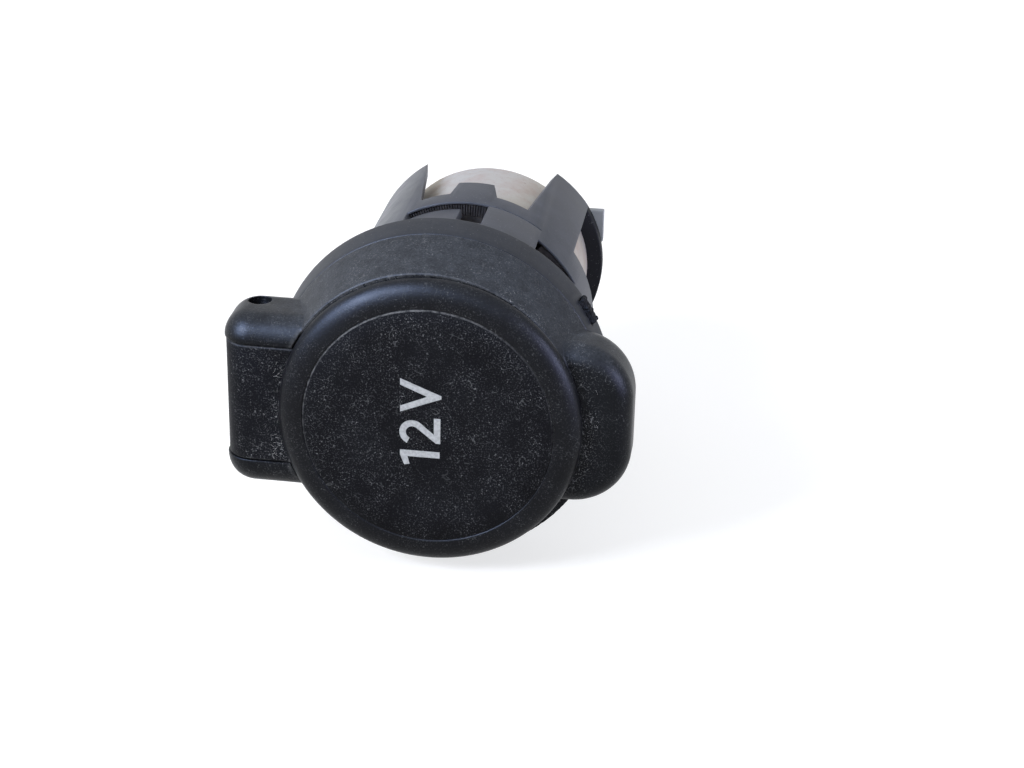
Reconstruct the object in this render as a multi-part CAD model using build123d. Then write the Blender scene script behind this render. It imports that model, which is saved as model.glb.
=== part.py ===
from build123d import *
import math
import os

# Car 12 V power socket with a hinged lid.
# The socket's axis is Y: the lid faces -Y and the barrel runs back along +Y.
# +Z is up, and the lid's hinge is on the -X side.
# The origin is the centre of the flange's rear face, where the socket seats on its panel.
# Lengths are millimetres. Angles are degrees round the axis, from +X towards +Z.

# Depths along the axis, from the panel seat forwards
band_depth = 3.65
collar_depth = 6.65
lid_gap = 0.25
lid_height = 1.95

# Lid
lid_radius = 16.0
rim_width = 2.5
rim_height = 1.55
back_edge = 0.3
ring_radius = 13.28
ring_width = 0.2
ring_depth = 0.12
lid_shift_x = 0.3
lid_shift_z = -0.45
spigot_radius = 9.8
spigot_lip = 0.5
spigot_lip_height = 0.5
seal_width = 1.6
seal_height = 1.2

# Collar of the flap frame
collar_radius = 16.0
collar_edge = 0.12
seam_radius = 17.8
mouth_radius = 13.4
throat_radius = 11.9

# Hinge
hinge_reach = 1.2
hinge_setback = 5.2
barrel_radius = 2.95
hinge_corner = 2.75
leaf_proud = 0.6
leaf_length = 13.2
leaf_thickness = 2.0
leaf_bite = 2.8
upper_knuckle = 2.8
lower_knuckle = 3.4
upper_round = 2.7
lower_round = 3.0
knuckle_corner = 3.15
knuckle_proud = 0.25
pin_radius = 1.25
pin_recess = 1.0
hinge_end_gap = 0.15
hinge_clearance = 0.3
pin_clearance = 0.06

# Torsion spring round the pin
spring_wire_radius = 0.25
spring_coil_radius = 1.72
spring_turns = 6
spring_pitch = 0.72
spring_leg = 2.2
spring_room = 0.35

# Finger ear opposite the hinge
ear_reach = 21.45
ear_height = 18.3
ear_drop = 0.4
ear_corner = 6.3
ear_setback = 0.2
ear_depth = 8.5
ear_front_round = 2.2
ear_rear_round = 4.2

# Straight-walled stretch of the collar under the ear
lip_radius = 18.13
lip_depth = 3.35
lip_angles = (-100.0, -22.0)

# Mounting flange
flange_radius = 18.4
flange_edge = 0.3
hub_radius = 15.2
hub_height = 1.85
sleeve_length = 9.0
sleeve_wall = 1.05
seat_gap = 0.95
seat_relief = 0.4
flange_fit = 0.06

# Socket shell
bore_radius = 10.7
bore_length = 37.4
foot_radius = 10.2
foot_depth = 3.1
shell_wall = 1.3
shell_rim_width = 1.0
shell_rim_height = 1.0
shell_corner = 0.8
shell_fit = 0.05

# Clip ring, as bands and fingers wrapped on one tube
clip_wall = 1.3
clip_front = 3.0
clip_collar = 6.5
clip_slot = 6.1
clip_band = 3.0
tab_length = 3.7
tab_root_angles = (78.4, 100.0)
tab_end_angles = (81.8, 98.2)
block_angles = (54.0, 80.3)
block_slit = 0.2
tongue_angles = (92.7, 119.0)
tongue_gap = 1.0
tongue_step = 0.5
right_leg_angles = (-8.0, 28.0)
left_leg_angles = (119.0, 150.0)
bridge_angles = (right_leg_angles[1], block_angles[0])
claw_bridge = 3.0
claw_length = 15.6
right_claw_root_angles = (34.4, 62.9)
right_claw_end_angles = (34.4, 56.3)
left_claw_root_angle = 114.0
left_claw_end_angle = 122.8
left_claw_side_angle = 165.0

# Anti-rattle ring under the clip ring's rear band, its ribbed crown in a recess behind the band's lip
clip_lip = 0.3
rattle_setback = 0.15
rattle_crown = 1.6
rattle_length = 2.6
rattle_ribs = 150
rattle_rib_depth = 1.3
rattle_rib_height = 0.3
rattle_clearance = 0.1
shelf_room = 3.0

# Rubber pads let into the flange's rear edge
pad_angle = 31.0
pad_width = 2.9
pad_depth = 1.9
pad_setback = 0.35
pad_height = 1.8
pad_proud = 0.25
pad_clearance = 0.05

# Contacts, insulators and terminals behind the shell's floor
rivet_radius = 1.5
rivet_head_radius = 2.6
rivet_head_height = 0.7
rivet_tail_radius = 2.1
rivet_bore_radius = 0.8
rivet_bore_depth = 5.0
rivet_clearance = 0.05
contact_radius = 4.4
contact_thickness = 0.8
insulator_radius = 5.2
insulator_thickness = 1.4
bush_wall = 1.05
plate_radius = 13.7
plate_height = 15.6
plate_thickness = 1.6
base_radius = 10.4
base_thickness = 2.0
lug_reach = 13.56
lug_top = 6.6
lug_width = 4.0
lug_thickness = 1.0
shroud_width = 13.2
shroud_height = 9.2
shroud_wall = 1.0
shroud_length = 7.0
shroud_corner = 1.2
blade_thickness = 0.8
blade_width = 6.3
blade_spacing = 5.8
blade_recess = 1.0
washer_thickness = 0.5
washer_radius = 2.3
earth_rivet_radius = 0.9
earth_rivet_head = 1.5
earth_rivet_head_height = 0.6
earth_rivet_offset = 7.2
earth_rivet_spacing = 3.6
earth_foot_end = 9.4
terminal_room = 0.2

# Depths that follow from the sizes above
seam_y = -band_depth
rim_y = seam_y - collar_depth
lid_back_y = rim_y - lid_gap
lid_face_y = lid_back_y - lid_height
hub_front_y = seam_y - hub_height
shell_mouth_y = hub_front_y - shell_rim_height
foot_y = shell_mouth_y + bore_length
floor_y = foot_y + foot_depth
shell_rear_y = floor_y + shell_wall

shell_radius = bore_radius + shell_wall
shell_rim_radius = shell_radius + shell_rim_width
flange_bore = shell_radius + shell_fit
sleeve_radius = flange_bore + sleeve_wall
clip_bore = sleeve_radius + flange_fit
clip_radius = clip_bore + clip_wall

hinge_x = -(seam_radius + hinge_reach)
hinge_y = rim_y + hinge_setback
leaf_front_y = rim_y - leaf_proud
hinge_left_x = hinge_x - barrel_radius
leaf_right_x = hinge_x + barrel_radius
leaf_end_x = -(lid_radius - leaf_bite)
leaf_rear_y = leaf_front_y + leaf_thickness
leaf_half = leaf_length / 2
knuckle_base = leaf_half + hinge_end_gap
knuckle_top = knuckle_base + upper_knuckle
knuckle_foot = knuckle_base + lower_knuckle

# Larger than the whole socket, for cuts that run clear of it
beyond = 4 * flange_radius


# Small building functions
def turned(outline):
    """A solid turned round the socket's axis from points of radius and depth."""
    return revolve(make_face(Polyline(*outline, close=True)), Axis.Y)


def tube(inner, outer, front, rear):
    return turned([(inner, front), (outer, front), (outer, rear), (inner, rear)])


def disc(radius, front, rear):
    return turned([(0, front), (radius, front), (radius, rear), (0, rear)])


def slab(x_range, y_range, z_range):
    """A block between two limits on each axis."""
    low = [min(r) for r in (x_range, y_range, z_range)]
    high = [max(r) for r in (x_range, y_range, z_range)]
    size = [h - l for l, h in zip(low, high)]
    return Pos(*low) * Box(*size, align=(Align.MIN, Align.MIN, Align.MIN))


def radial(angle):
    return Vector(math.cos(math.radians(angle)), 0, math.sin(math.radians(angle)))


def radial_plane(angle):
    """A plane through the axis that faces outwards at an angle; its x runs down the angle, its y runs back."""
    tangent = Vector(math.sin(math.radians(angle)), 0, -math.cos(math.radians(angle)))
    return Plane(origin=(0, 0, 0), x_dir=tangent, z_dir=radial(angle))


def wrapped(outline, inner, outer, draw=None):
    """A finger cut from a tube, its outline given as points of angle and depth on the tube's outside.

    The sides are cut straight through, along the angle given as draw or along the outline's middle.
    """
    angles = [a for a, y in outline]
    depths = [y for a, y in outline]
    middle = (min(angles) + max(angles)) / 2 if draw is None else draw
    flat = [(-outer * math.sin(math.radians(a - middle)), y) for a, y in outline]
    cutter = extrude(radial_plane(middle) * make_face(Polyline(*flat, close=True)), amount=2 * outer)
    return cutter & tube(inner, outer, min(depths), max(depths))


def wrapped_patch(angles, front, rear, inner, outer):
    low, high = angles
    return wrapped([(low, front), (high, front), (high, rear), (low, rear)], inner, outer)


def opposite(shape):
    """The same piece half a turn round the socket's axis."""
    return Rot(0, 180, 0) * shape


def hinge_rod(radius, half_length):
    return Pos(hinge_x, hinge_y, 0) * Cylinder(radius, 2 * half_length)


# Flap frame
def knuckle(height, rounding):
    """An upper arm of the hinge clevis, rounded over its outer end and a little prouder than the leaf."""
    radius = barrel_radius + knuckle_proud
    left_x = hinge_x - radius
    front_left = (left_x + knuckle_corner, leaf_front_y)
    left_front = (left_x, leaf_front_y + knuckle_corner)
    rear_left = (hinge_x, hinge_y + radius)
    sides = Line((0, leaf_front_y), front_left)
    sides += RadiusArc(front_left, left_front, knuckle_corner)
    sides += Line(left_front, (left_x, hinge_y))
    sides += RadiusArc((left_x, hinge_y), rear_left, radius)
    sides += Polyline(rear_left, (0, hinge_y + radius), (0, leaf_front_y))
    arm = Pos(0, 0, knuckle_base) * extrude(make_face(sides), amount=height)
    top_edges = arm.faces().sort_by(Axis.Z)[-1].edges().filter_by_position(Axis.X, -beyond, -0.01)
    return fillet(top_edges, rounding)


def ear():
    """The rounded finger rest on the side where the lid is lifted."""
    front_y = rim_y + ear_setback
    outline = Plane.XZ * Rectangle(ear_reach, ear_height, align=(Align.MIN, Align.CENTER))
    block = Pos(0, front_y + ear_depth, -ear_drop) * extrude(outline, amount=ear_depth)
    block = fillet(block.edges().filter_by(Axis.Y).group_by(Axis.X)[-1], ear_corner)
    front_edges = block.faces().sort_by(Axis.Y)[0].edges().filter_by_position(Axis.X, 0.01, beyond)
    block = fillet(front_edges, ear_front_round)
    rear_edges = block.faces().sort_by(Axis.Y)[-1].edges().filter_by_position(Axis.X, 0.01, beyond)
    return fillet(rear_edges, ear_rear_round)


def hinge_pocket():
    """The room that the lid's leaf and barrel swing in."""
    room = hinge_rod(barrel_radius + hinge_clearance, knuckle_base)
    height = (-knuckle_base, knuckle_base)
    room += slab((-beyond, leaf_right_x + hinge_clearance), (-beyond, hinge_y), height)
    room += slab((-beyond, leaf_end_x + hinge_clearance), (-beyond, leaf_rear_y + hinge_clearance), height)
    return room


def flap_frame():
    recess_radius = hub_radius + flange_fit
    rim_recess = shell_rim_radius + flange_fit
    collar = turned(
        [
            (mouth_radius, rim_y),
            (collar_radius - collar_edge, rim_y),
            (collar_radius, rim_y + collar_edge),
            (seam_radius, seam_y),
            (recess_radius, seam_y),
            (recess_radius, hub_front_y),
            (rim_recess, hub_front_y),
            (rim_recess, shell_mouth_y),
            (throat_radius, shell_mouth_y),
        ]
    )
    lower = mirror(knuckle(lower_knuckle, lower_round), about=Plane.XY)
    blocks = knuckle(upper_knuckle, upper_round) + lower + ear()
    blocks += wrapped_patch(lip_angles, seam_y - lip_depth, seam_y, hub_radius, lip_radius)
    root = tube(0, recess_radius + flange_fit, -beyond, beyond)
    behind_seam = tube(0, flange_radius + flange_fit, seam_y, beyond)
    blocks = blocks - root - behind_seam
    # In front of the rim the knuckles stop short of the lid's edge
    lid_room = Pos(lid_shift_x, 0, lid_shift_z) * disc(lid_radius + hinge_clearance, -beyond, rim_y)
    blocks = blocks - lid_room
    body = collar + blocks - hinge_pocket()
    return body - hinge_rod(pin_radius, knuckle_foot + pin_recess)


# Lid
def lid_plate():
    ring_in = ring_radius - ring_width / 2
    ring_out = ring_radius + ring_width / 2
    flat_radius = lid_radius - rim_width
    lip_front = lid_back_y + seal_height
    lip_rear = lip_front + spigot_lip_height
    lip_radius = spigot_radius + spigot_lip
    outline = Polyline(
        (flat_radius, lid_face_y),
        (ring_out, lid_face_y),
        (ring_out, lid_face_y + ring_depth),
        (ring_in, lid_face_y + ring_depth),
        (ring_in, lid_face_y),
        (0, lid_face_y),
        (0, lip_rear),
        (lip_radius, lip_rear),
        (lip_radius, lip_front),
        (spigot_radius, lip_front),
        (spigot_radius, lid_back_y),
        (lid_radius - back_edge, lid_back_y),
        (lid_radius, lid_back_y - back_edge),
        (lid_radius, lid_face_y + rim_height),
    )
    rim = EllipticalCenterArc(
        (flat_radius, lid_face_y + rim_height), rim_width, rim_height, start_angle=270, arc_size=90
    )
    return Pos(lid_shift_x, 0, lid_shift_z) * revolve(make_face(outline + rim), Axis.Y)


def lid_leaf():
    """The hinge leaf: a slab flush with the knuckles, its barrel and the tongue under the lid's rim."""
    front_left = (hinge_left_x + hinge_corner, leaf_front_y)
    left_front = (hinge_left_x, leaf_front_y + hinge_corner)
    sides = Line((leaf_end_x, leaf_front_y), front_left)
    sides += RadiusArc(front_left, left_front, hinge_corner)
    sides += Line(left_front, (hinge_left_x, hinge_y))
    sides += RadiusArc((hinge_left_x, hinge_y), (hinge_x, hinge_y + barrel_radius), barrel_radius)
    sides += RadiusArc((hinge_x, hinge_y + barrel_radius), (leaf_right_x, hinge_y), barrel_radius)
    sides += Polyline(
        (leaf_right_x, hinge_y),
        (leaf_right_x, leaf_rear_y),
        (leaf_end_x, leaf_rear_y),
        (leaf_end_x, leaf_front_y),
    )
    leaf = Pos(0, 0, -leaf_half) * extrude(make_face(sides), amount=leaf_length)
    coil_half = spring_turns * spring_pitch / 2 + spring_wire_radius + spring_room
    coil_room = spring_coil_radius + spring_wire_radius + spring_room
    leaf -= hinge_rod(coil_room, coil_half)
    leaf -= slab((hinge_left_x, leaf_right_x), (hinge_y, hinge_y + beyond), (-coil_half, coil_half))
    leg_x = hinge_x + spring_coil_radius
    leg_room = spring_wire_radius + spring_room
    leg_front = hinge_y - spring_leg - leg_room
    leaf -= slab((leg_x - leg_room, leg_x + leg_room), (leg_front, hinge_y), (-coil_half, 0))
    return leaf


def lid():
    return lid_plate() + lid_leaf() - hinge_rod(pin_radius + pin_clearance, beyond)


def lid_seal():
    ring = tube(spigot_radius, spigot_radius + seal_width, lid_back_y, lid_back_y + seal_height)
    return Pos(lid_shift_x, 0, lid_shift_z) * ring


def hinge_pin():
    return hinge_rod(pin_radius, knuckle_top - pin_recess)


def lid_spring():
    """Torsion spring on the pin: one leg runs forward into the leaf and one back to the flange."""
    height = spring_turns * spring_pitch
    coil = Helix(spring_pitch, height, spring_coil_radius, center=(hinge_x, hinge_y, -height / 2))
    start = coil @ 0
    end = coil @ 1
    front_leg = Line(start - (coil % 0) * spring_leg, start)
    rear_leg = Line(end, end + (coil % 1) * spring_leg)
    pieces = []
    for path in (front_leg, coil, rear_leg):
        section = Plane(origin=path @ 0, z_dir=path % 0) * Circle(spring_wire_radius)
        pieces.append(sweep(section, path, is_frenet=True))
    return pieces[0] + pieces[1] + pieces[2]


# Mounting flange
def pad_block(grow, outer, rear):
    """A pad's block in the flange's edge, or its slot when it is grown by a clearance."""
    half = pad_width / 2 + grow
    front = -pad_depth - grow
    outline = [(-half, front), (half, front), (half, rear), (-half, rear)]
    block = extrude(radial_plane(pad_angle) * make_face(Polyline(*outline, close=True)), amount=2 * outer)
    return block & tube(flange_radius - pad_height - grow, outer, front, rear)


def rim_pads():
    pad = pad_block(0, flange_radius + pad_proud, -pad_setback)
    return [pad, opposite(pad)]


def mounting_flange():
    body = turned(
        [
            (flange_bore, hub_front_y),
            (hub_radius, hub_front_y),
            (hub_radius, seam_y),
            (seam_radius, seam_y),
            (flange_radius, -flange_edge),
            (flange_radius - flange_edge, 0),
            (clip_radius + seat_gap, 0),
            (clip_radius + seat_gap, -seat_relief),
            (sleeve_radius, -seat_relief),
            (sleeve_radius, sleeve_length),
            (flange_bore, sleeve_length),
        ]
    )
    slot = pad_block(pad_clearance, 2 * flange_radius, pad_depth)
    return body - slot - opposite(slot) - hinge_rod(barrel_radius + hinge_clearance, knuckle_base)


# Clip ring
def clip_half():
    """The fingers and legs of the clip ring's upper half."""
    collar_end = clip_front + clip_collar
    band_front = collar_end + clip_slot
    band_rear = band_front + clip_band
    claw_end = band_rear + claw_length
    half = wrapped_patch(block_angles, collar_end, band_front - block_slit, clip_bore, clip_radius)
    half += wrapped_patch(tongue_angles, collar_end, band_front - tongue_gap, clip_bore, clip_radius - tongue_step)
    for angles in (right_leg_angles, left_leg_angles):
        half += wrapped_patch(angles, collar_end, band_front, clip_bore, clip_radius)
    bridge_bore = clip_radius - clip_lip
    half += wrapped_patch(bridge_angles, band_front - claw_bridge, band_front, bridge_bore, clip_radius)
    fingers = (
        (tab_root_angles, tab_end_angles, tab_length),
        (right_claw_root_angles, right_claw_end_angles, claw_length),
    )
    for root, end, length in fingers:
        outline = [
            (root[0], band_rear),
            (root[1], band_rear),
            (end[1], band_rear + length),
            (end[0], band_rear + length),
        ]
        half += wrapped(outline, clip_bore, clip_radius)
    # The left claw's slanted side is cut straight down, as the mould draws
    slanted = [
        (left_claw_root_angle, band_rear),
        (180, band_rear),
        (180, claw_end),
        (left_claw_end_angle, claw_end),
    ]
    left_claw = wrapped_patch((90, left_claw_side_angle), band_rear, claw_end, clip_bore, clip_radius)
    return half + (left_claw & wrapped(slanted, clip_bore, clip_radius, draw=90))


def clip_ring():
    collar_end = clip_front + clip_collar
    band_front = collar_end + clip_slot
    ring = tube(clip_bore, clip_radius, clip_front, collar_end)
    ring += tube(clip_bore, clip_radius, band_front, band_front + clip_band)
    half = clip_half()
    recess_rear = band_front + rattle_setback + rattle_crown + rattle_clearance
    recess = disc(clip_radius - clip_lip, band_front, recess_rear)
    return ring + half + mirror(half, about=Plane.XY) - recess


def anti_rattle_ring():
    """Band round the shell, with a crown whose front face is ribbed like a gear and a shelf under each bridge."""
    front = clip_front + clip_collar + clip_slot + rattle_setback
    outer = clip_radius - clip_lip - rattle_clearance
    inner = outer - rattle_rib_depth
    step = 360 / rattle_ribs
    corners = []
    for rib in range(rattle_ribs):
        start = rib * step
        for radius, share in ((outer, 0.0), (outer, 0.5), (inner, 0.5), (inner, 1.0)):
            angle = math.radians(start + share * step)
            corners.append((radius * math.cos(angle), radius * math.sin(angle)))
    face = Plane.XZ * make_face(Polyline(*corners, close=True))
    ribs = Pos(0, front + rattle_rib_height, 0) * extrude(face, amount=rattle_rib_height)
    crown = tube(shell_radius, outer, front + rattle_rib_height, front + rattle_crown)
    tail = tube(shell_radius, clip_bore - rattle_clearance, front + rattle_crown, front + rattle_length)
    shelf_angles = (bridge_angles[0] + shelf_room, bridge_angles[1] - shelf_room)
    shelf = wrapped_patch(shelf_angles, front - claw_bridge, front + rattle_crown, shell_radius, outer)
    shelf += mirror(shelf, about=Plane.XY)
    return ribs - disc(shell_radius, 0, shell_rear_y) + crown + tail + shelf


# Socket shell and contacts
def socket_shell():
    body = turned(
        [
            (bore_radius, shell_mouth_y),
            (shell_rim_radius, shell_mouth_y),
            (shell_rim_radius, hub_front_y),
            (shell_radius, hub_front_y),
            (shell_radius, shell_rear_y),
            (0, shell_rear_y),
            (0, floor_y),
            (foot_radius, floor_y),
            (foot_radius, foot_y),
            (bore_radius, foot_y),
        ]
    )
    rear_edge = body.edges().filter_by(GeomType.CIRCLE).sort_by(Axis.Y)[-1]
    body = fillet(rear_edge, shell_corner)
    bush_hole = rivet_radius + rivet_clearance + bush_wall + rivet_clearance
    return body - disc(bush_hole, 0, beyond) - earth_rivet_shanks(rivet_clearance, 0, beyond)


def earth_rivet_shanks(grow, front, rear):
    shank = disc(earth_rivet_radius + grow, front, rear)
    half = earth_rivet_spacing / 2
    return Pos(-earth_rivet_offset, 0, half) * shank + Pos(-earth_rivet_offset, 0, -half) * shank


def earth_rivets():
    foot_rear = shell_rear_y + blade_thickness
    shank = disc(earth_rivet_radius, floor_y - earth_rivet_head_height, foot_rear + earth_rivet_head_height)
    head = disc(earth_rivet_head, floor_y - earth_rivet_head_height, floor_y)
    tail = disc(earth_rivet_head, foot_rear, foot_rear + earth_rivet_head_height)
    rivet = shank + head + tail
    half = earth_rivet_spacing / 2
    return [Pos(-earth_rivet_offset, 0, half) * rivet, Pos(-earth_rivet_offset, 0, -half) * rivet]


def front_insulator():
    hole = rivet_radius + rivet_clearance
    front = floor_y - insulator_thickness
    return turned(
        [
            (hole, front),
            (insulator_radius, front),
            (insulator_radius, floor_y),
            (hole + bush_wall, floor_y),
            (hole + bush_wall, shell_rear_y),
            (hole, shell_rear_y),
        ]
    )


def contact_front():
    return floor_y - insulator_thickness - contact_thickness


def centre_contact():
    return tube(rivet_radius + rivet_clearance, contact_radius, contact_front(), contact_front() + contact_thickness)


def plate_rear():
    return shell_rear_y + plate_thickness


def base_rear():
    return plate_rear() + base_thickness


def contact_rivet():
    head_front = contact_front() - rivet_head_height
    tail_front = base_rear() + blade_thickness + washer_thickness
    tail_rear = tail_front + rivet_head_height
    body = turned(
        [
            (0, head_front),
            (rivet_head_radius, head_front),
            (rivet_head_radius, contact_front()),
            (rivet_radius, contact_front()),
            (rivet_radius, tail_front),
            (rivet_tail_radius, tail_front),
            (rivet_tail_radius, tail_rear),
            (0, tail_rear),
        ]
    )
    return body - disc(rivet_bore_radius, tail_rear - rivet_bore_depth, beyond)


def rivet_washer():
    front = base_rear() + blade_thickness
    return tube(rivet_radius + rivet_clearance, washer_radius, front, front + washer_thickness)


def blade(side):
    """One upright terminal blade, on the +X or -X side of the connector."""
    inner = side * blade_spacing / 2 - side * blade_thickness / 2
    outer = inner + side * blade_thickness
    rear = base_rear() + shroud_length - blade_recess
    front = base_rear() if side > 0 else shell_rear_y
    return slab((inner, outer), (front, rear), (-blade_width / 2, blade_width / 2))


def live_terminal():
    outer = (blade_spacing + blade_thickness) / 2
    height = (-blade_width / 2, blade_width / 2)
    foot = slab((-washer_radius + terminal_room, outer), (base_rear(), base_rear() + blade_thickness), height)
    return blade(1) + foot - disc(rivet_radius + rivet_clearance, 0, beyond)


def earth_terminal():
    inner = -(blade_spacing - blade_thickness) / 2
    height = (-blade_width / 2, blade_width / 2)
    foot = slab((-earth_foot_end, inner), (shell_rear_y, shell_rear_y + blade_thickness), height)
    return blade(-1) + foot - earth_rivet_shanks(rivet_clearance, 0, beyond)


def earth_room(rear):
    """The room that the earth terminal's foot, rivets and blade take up behind the shell's floor."""
    height = (-blade_width / 2 - terminal_room, blade_width / 2 + terminal_room)
    inner = -(blade_spacing - blade_thickness) / 2 + terminal_room
    outer = -(blade_spacing + blade_thickness) / 2 - terminal_room
    foot = slab((-earth_foot_end - terminal_room, inner), (0, plate_rear()), height)
    return foot + slab((outer, inner), (0, rear), height)


def rear_plate():
    """The plate behind the shell: a disc with its top and bottom cut flat."""
    body = disc(plate_radius, shell_rear_y, plate_rear())
    body &= slab((-beyond, beyond), (0, beyond), (-plate_height / 2, plate_height / 2))
    return body - earth_room(plate_rear()) - disc(rivet_radius + rivet_clearance, 0, beyond)


def terminal_base():
    """The connector's base: a disc with a lug at two opposite corners, and the shroud round the blades."""
    shroud_end = base_rear() + shroud_length
    body = disc(base_radius, plate_rear(), base_rear())
    lug = slab((0, lug_reach), (plate_rear(), plate_rear() + lug_thickness), (lug_top - lug_width, lug_top))
    body += lug + opposite(lug)
    outline = Plane.XZ * RectangleRounded(shroud_width, shroud_height, shroud_corner)
    shroud = Pos(0, shroud_end, 0) * extrude(outline, amount=shroud_length)
    inner_width = shroud_width - 2 * shroud_wall
    inner_height = shroud_height - 2 * shroud_wall
    cavity = slab(
        (-inner_width / 2, inner_width / 2),
        (base_rear(), beyond),
        (-inner_height / 2, inner_height / 2),
    )
    body += shroud - cavity
    return body - earth_room(base_rear()) - disc(rivet_radius + rivet_clearance, 0, beyond)


# Every piece in a file of its own
pieces = {
    "flap_frame": flap_frame(),
    "lid": lid(),
    "lid_seal": lid_seal(),
    "hinge_pin": hinge_pin(),
    "lid_spring": lid_spring(),
    "mounting_flange": mounting_flange(),
    "clip_ring": clip_ring(),
    "anti_rattle_ring": anti_rattle_ring(),
    "rim_pads": Compound(children=rim_pads()),
    "socket_shell": socket_shell(),
    "front_insulator": front_insulator(),
    "centre_contact": centre_contact(),
    "contact_rivet": contact_rivet(),
    "rivet_washer": rivet_washer(),
    "rear_plate": rear_plate(),
    "terminal_base": terminal_base(),
    "live_terminal": live_terminal(),
    "earth_terminal": earth_terminal(),
    "earth_rivets": Compound(children=earth_rivets()),
}

os.makedirs("parts", exist_ok=True)
for name, shape in pieces.items():
    export_step(shape, f"parts/{name}.step")
    print(name, len(shape.solids()), round(shape.volume, 2))
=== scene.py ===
# %% [markdown]
# A car's 12 V power socket with a hinged lid, dressed for a studio picture.
# The rigid model comes in as a fixed frame: every node sits where the maker put it, in metres.
# The pieces made here take the place of the plain solids, with moulded edges, dust and wear.

# %% Load the frame
import math
import bmesh
import bpy
from mathutils import Matrix, Vector


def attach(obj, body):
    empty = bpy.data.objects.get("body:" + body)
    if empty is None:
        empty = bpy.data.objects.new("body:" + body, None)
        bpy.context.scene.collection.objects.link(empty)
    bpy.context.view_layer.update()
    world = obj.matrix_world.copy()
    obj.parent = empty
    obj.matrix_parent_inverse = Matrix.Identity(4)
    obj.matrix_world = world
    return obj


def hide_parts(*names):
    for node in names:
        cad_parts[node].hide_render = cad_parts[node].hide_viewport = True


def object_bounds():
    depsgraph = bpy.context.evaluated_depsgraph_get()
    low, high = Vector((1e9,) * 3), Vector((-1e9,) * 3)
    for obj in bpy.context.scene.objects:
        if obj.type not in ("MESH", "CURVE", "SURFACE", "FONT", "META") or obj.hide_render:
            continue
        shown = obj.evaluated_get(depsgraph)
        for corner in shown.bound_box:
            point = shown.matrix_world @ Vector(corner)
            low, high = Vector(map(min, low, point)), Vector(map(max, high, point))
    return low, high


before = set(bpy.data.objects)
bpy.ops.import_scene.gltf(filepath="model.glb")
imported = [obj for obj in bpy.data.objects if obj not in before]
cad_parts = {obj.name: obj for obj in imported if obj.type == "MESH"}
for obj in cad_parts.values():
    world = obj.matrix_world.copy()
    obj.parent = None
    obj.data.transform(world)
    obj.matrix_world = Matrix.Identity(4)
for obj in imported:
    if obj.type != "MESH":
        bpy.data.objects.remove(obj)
cad_low, cad_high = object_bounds()
scene = bpy.context.scene
print("frame", len(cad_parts), "nodes", [round(v, 4) for v in (*cad_low, *cad_high)])

# %% [markdown]
# The object is 58 mm long, so its sizes read best in millimetres. Meshes are built in millimetres,
# where the modifiers' own tolerances do no harm, and are scaled to metres when they are finished.
# Colours are written as sRGB hex, as a paint card gives them, and one function makes them linear.

# %% Units, colours and nodes
MM = 0.001


def linear(hex_code):
    """An sRGB hex colour as linear RGBA."""
    shares = [int(hex_code[i:i + 2], 16) / 255 for i in (1, 3, 5)]
    return (*[s / 12.92 if s <= 0.04045 else ((s + 0.055) / 1.055) ** 2.4 for s in shares], 1.0)


def per_mm(size):
    """The scale of a pattern whose cells measure this many millimetres, on coordinates in metres."""
    return 1.0 / (size * MM)


MATH = "ShaderNodeMath"
VECTOR = "ShaderNodeVectorMath"
SPLIT = "ShaderNodeSeparateXYZ"
NOISE = "ShaderNodeTexNoise"
RANGE = "ShaderNodeMapRange"
MIX = "ShaderNodeMix"
BUMP = "ShaderNodeBump"
PRINCIPLED = "ShaderNodeBsdfPrincipled"
OUTPUT = "ShaderNodeOutputMaterial"
RANDOM = "FunctionNodeRandomValue"


def add(tree, kind, inputs=None, **settings):
    """Adds a node. Its inputs are values, outputs of other nodes, or nodes whose first output feeds it."""
    made = tree.nodes.new(kind)
    for key, value in settings.items():
        setattr(made, key, value)
    for key, value in (inputs or {}).items():
        if isinstance(value, bpy.types.Node):
            value = value.outputs[0]
        if isinstance(value, bpy.types.NodeSocket):
            tree.links.new(value, made.inputs[key])
        else:
            made.inputs[key].default_value = value
    return made


def blank_material(name):
    """A material with an empty tree, and the output of its object coordinates."""
    made = bpy.data.materials.new(name)
    made.use_nodes = True
    made.node_tree.nodes.clear()
    return made, made.node_tree, add(made.node_tree, "ShaderNodeTexCoord").outputs["Object"]


# %% [markdown]
# The camera stands where the photographer stood: in front of the lid, a little to the right and above.
# Its place came from matching the lid's ring, the collar and the barrel. The lens is a short telephoto.

# %% Camera
CAMERA_PLACE = Vector((35.71, -215.83, 99.95)) * MM
CAMERA_RIGHT = Vector((0.99006, 0.13903, 0.02108))
CAMERA_UP = Vector((-0.07721, 0.41218, 0.90783))
CAMERA_BACK = Vector((0.11753, -0.90043, 0.41882))
camera_data = bpy.data.cameras.new("camera")
camera_data.sensor_width = 36.0
camera_data.lens = 77.34
camera_data.clip_start = 0.01
camera = bpy.data.objects.new("camera", camera_data)
turn = Matrix((CAMERA_RIGHT, CAMERA_UP, CAMERA_BACK)).transposed().to_4x4()
camera.matrix_world = Matrix.Translation(CAMERA_PLACE) @ turn
scene.collection.objects.link(camera)
scene.camera = camera
scene.view_settings.view_transform = "Standard"
print("camera at", [round(v * 1000, 1) for v in CAMERA_PLACE], "mm, lens", camera_data.lens)

# %% [markdown]
# The socket lies on a table in soft, slightly blue daylight. The sky is bright above, behind and to the
# left, and dim in front, so what faces up is pale and what faces the eye stays black. Two windows light the
# whole object. Three gleams are seen by shiny surfaces alone: they draw the long light on the lid's rim and
# on the ear. Table and sky are white to the eye, to a mirror and through glass. The table keeps the soft
# shadow near the object and fades to full white far off, so that it meets the sky without a line.

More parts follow.
